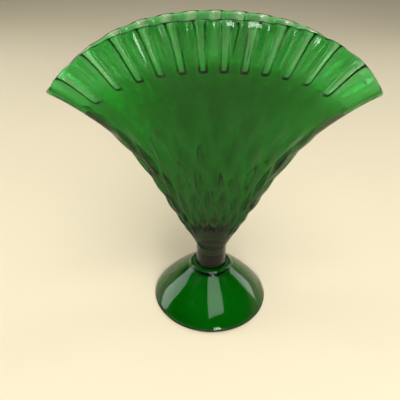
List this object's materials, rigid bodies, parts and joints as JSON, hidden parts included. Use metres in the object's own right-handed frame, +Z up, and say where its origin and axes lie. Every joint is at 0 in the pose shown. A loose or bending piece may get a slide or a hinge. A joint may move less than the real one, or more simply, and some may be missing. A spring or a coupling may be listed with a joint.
{
  "type": "fan vase",
  "caption": "Footed fan vase in pressed glass: a flattened bell that spreads into a wide fan, with fluted panels under a scalloped rim, on a short stem and a hollow domed foot.",
  "frame": {"origin": "centre of the foot's ground ring, on the surface that the vase stands on", "axes": "+Z up the vase's axis, X along the spread of the fan, -Y towards the front of the fan"},
  "size_m": [0.1958, 0.084, 0.197],
  "materials": {
    "green_glass": "fire-polished gloss"
  },
  "bodies": {
    "root": {"bowl": "green_glass", "stem": "green_glass", "foot": "green_glass"}
  },
  "joints": []
}
